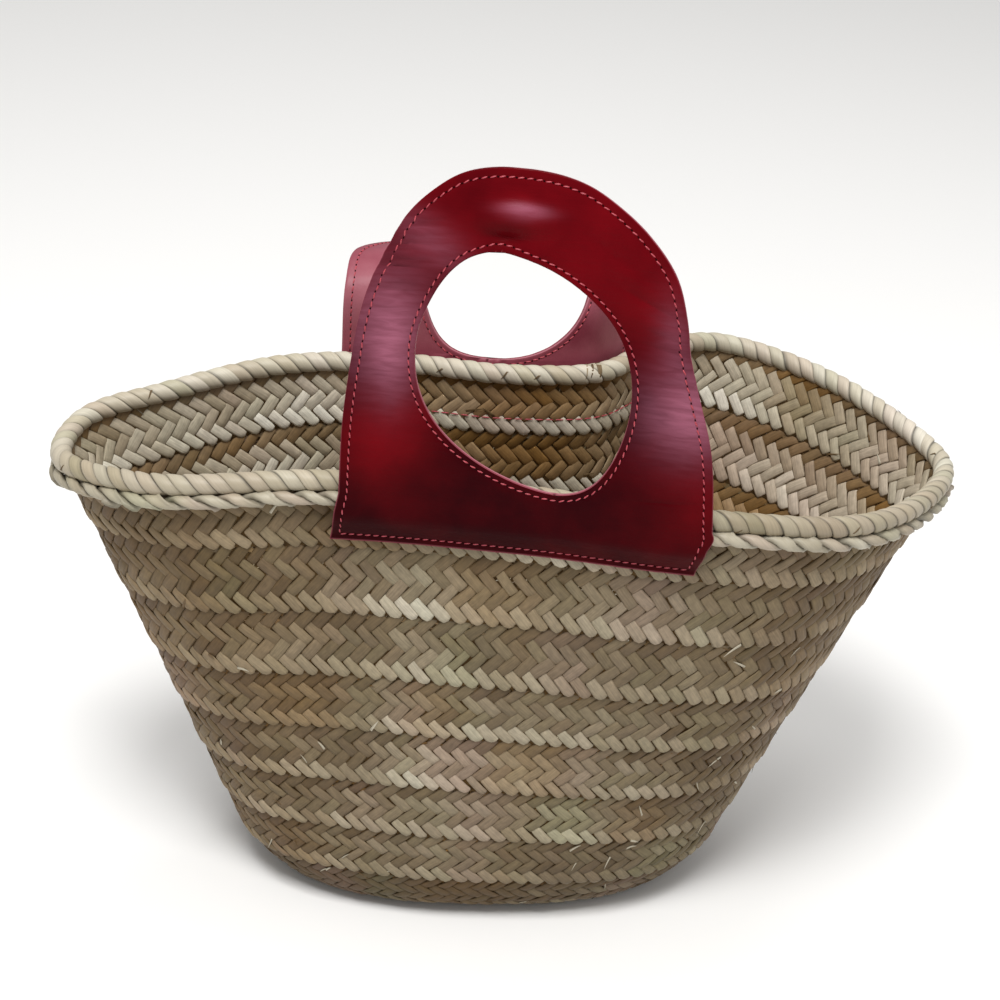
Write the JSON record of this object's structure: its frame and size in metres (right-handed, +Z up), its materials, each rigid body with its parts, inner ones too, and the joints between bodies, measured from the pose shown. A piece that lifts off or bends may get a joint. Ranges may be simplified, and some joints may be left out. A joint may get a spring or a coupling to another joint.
{
  "type": "straw basket bag",
  "caption": "Open oval basket bag of plaited palm leaf with a leaf-wrapped rim and arched leather handles sewn to its long sides.",
  "frame": {"origin": "centre of the flat base, on the surface that the bag stands on", "axes": "+X along the bag's length, to the right as seen from the front; -Y out of the front; +Z up"},
  "size_m": [0.5305, 0.3369, 0.4853],
  "materials": {
    "straw": "dry plaited palm leaf, matt",
    "binding": "pale wrapped palm leaf, slight sheen",
    "cord": "pale twisted palm leaf, matt",
    "leather_panel": "smooth dark red leather, glossy",
    "leather_lining": "mauve-red lining leather, satin"
  },
  "bodies": {
    "root": {"straw_body": "straw", "rim_binding": "binding", "rim_cord": "cord", "handle_front_panel": "leather_panel", "handle_front_lining": "leather_lining", "handle_back_panel": "leather_panel", "handle_back_lining": "leather_lining"}
  },
  "joints": []
}
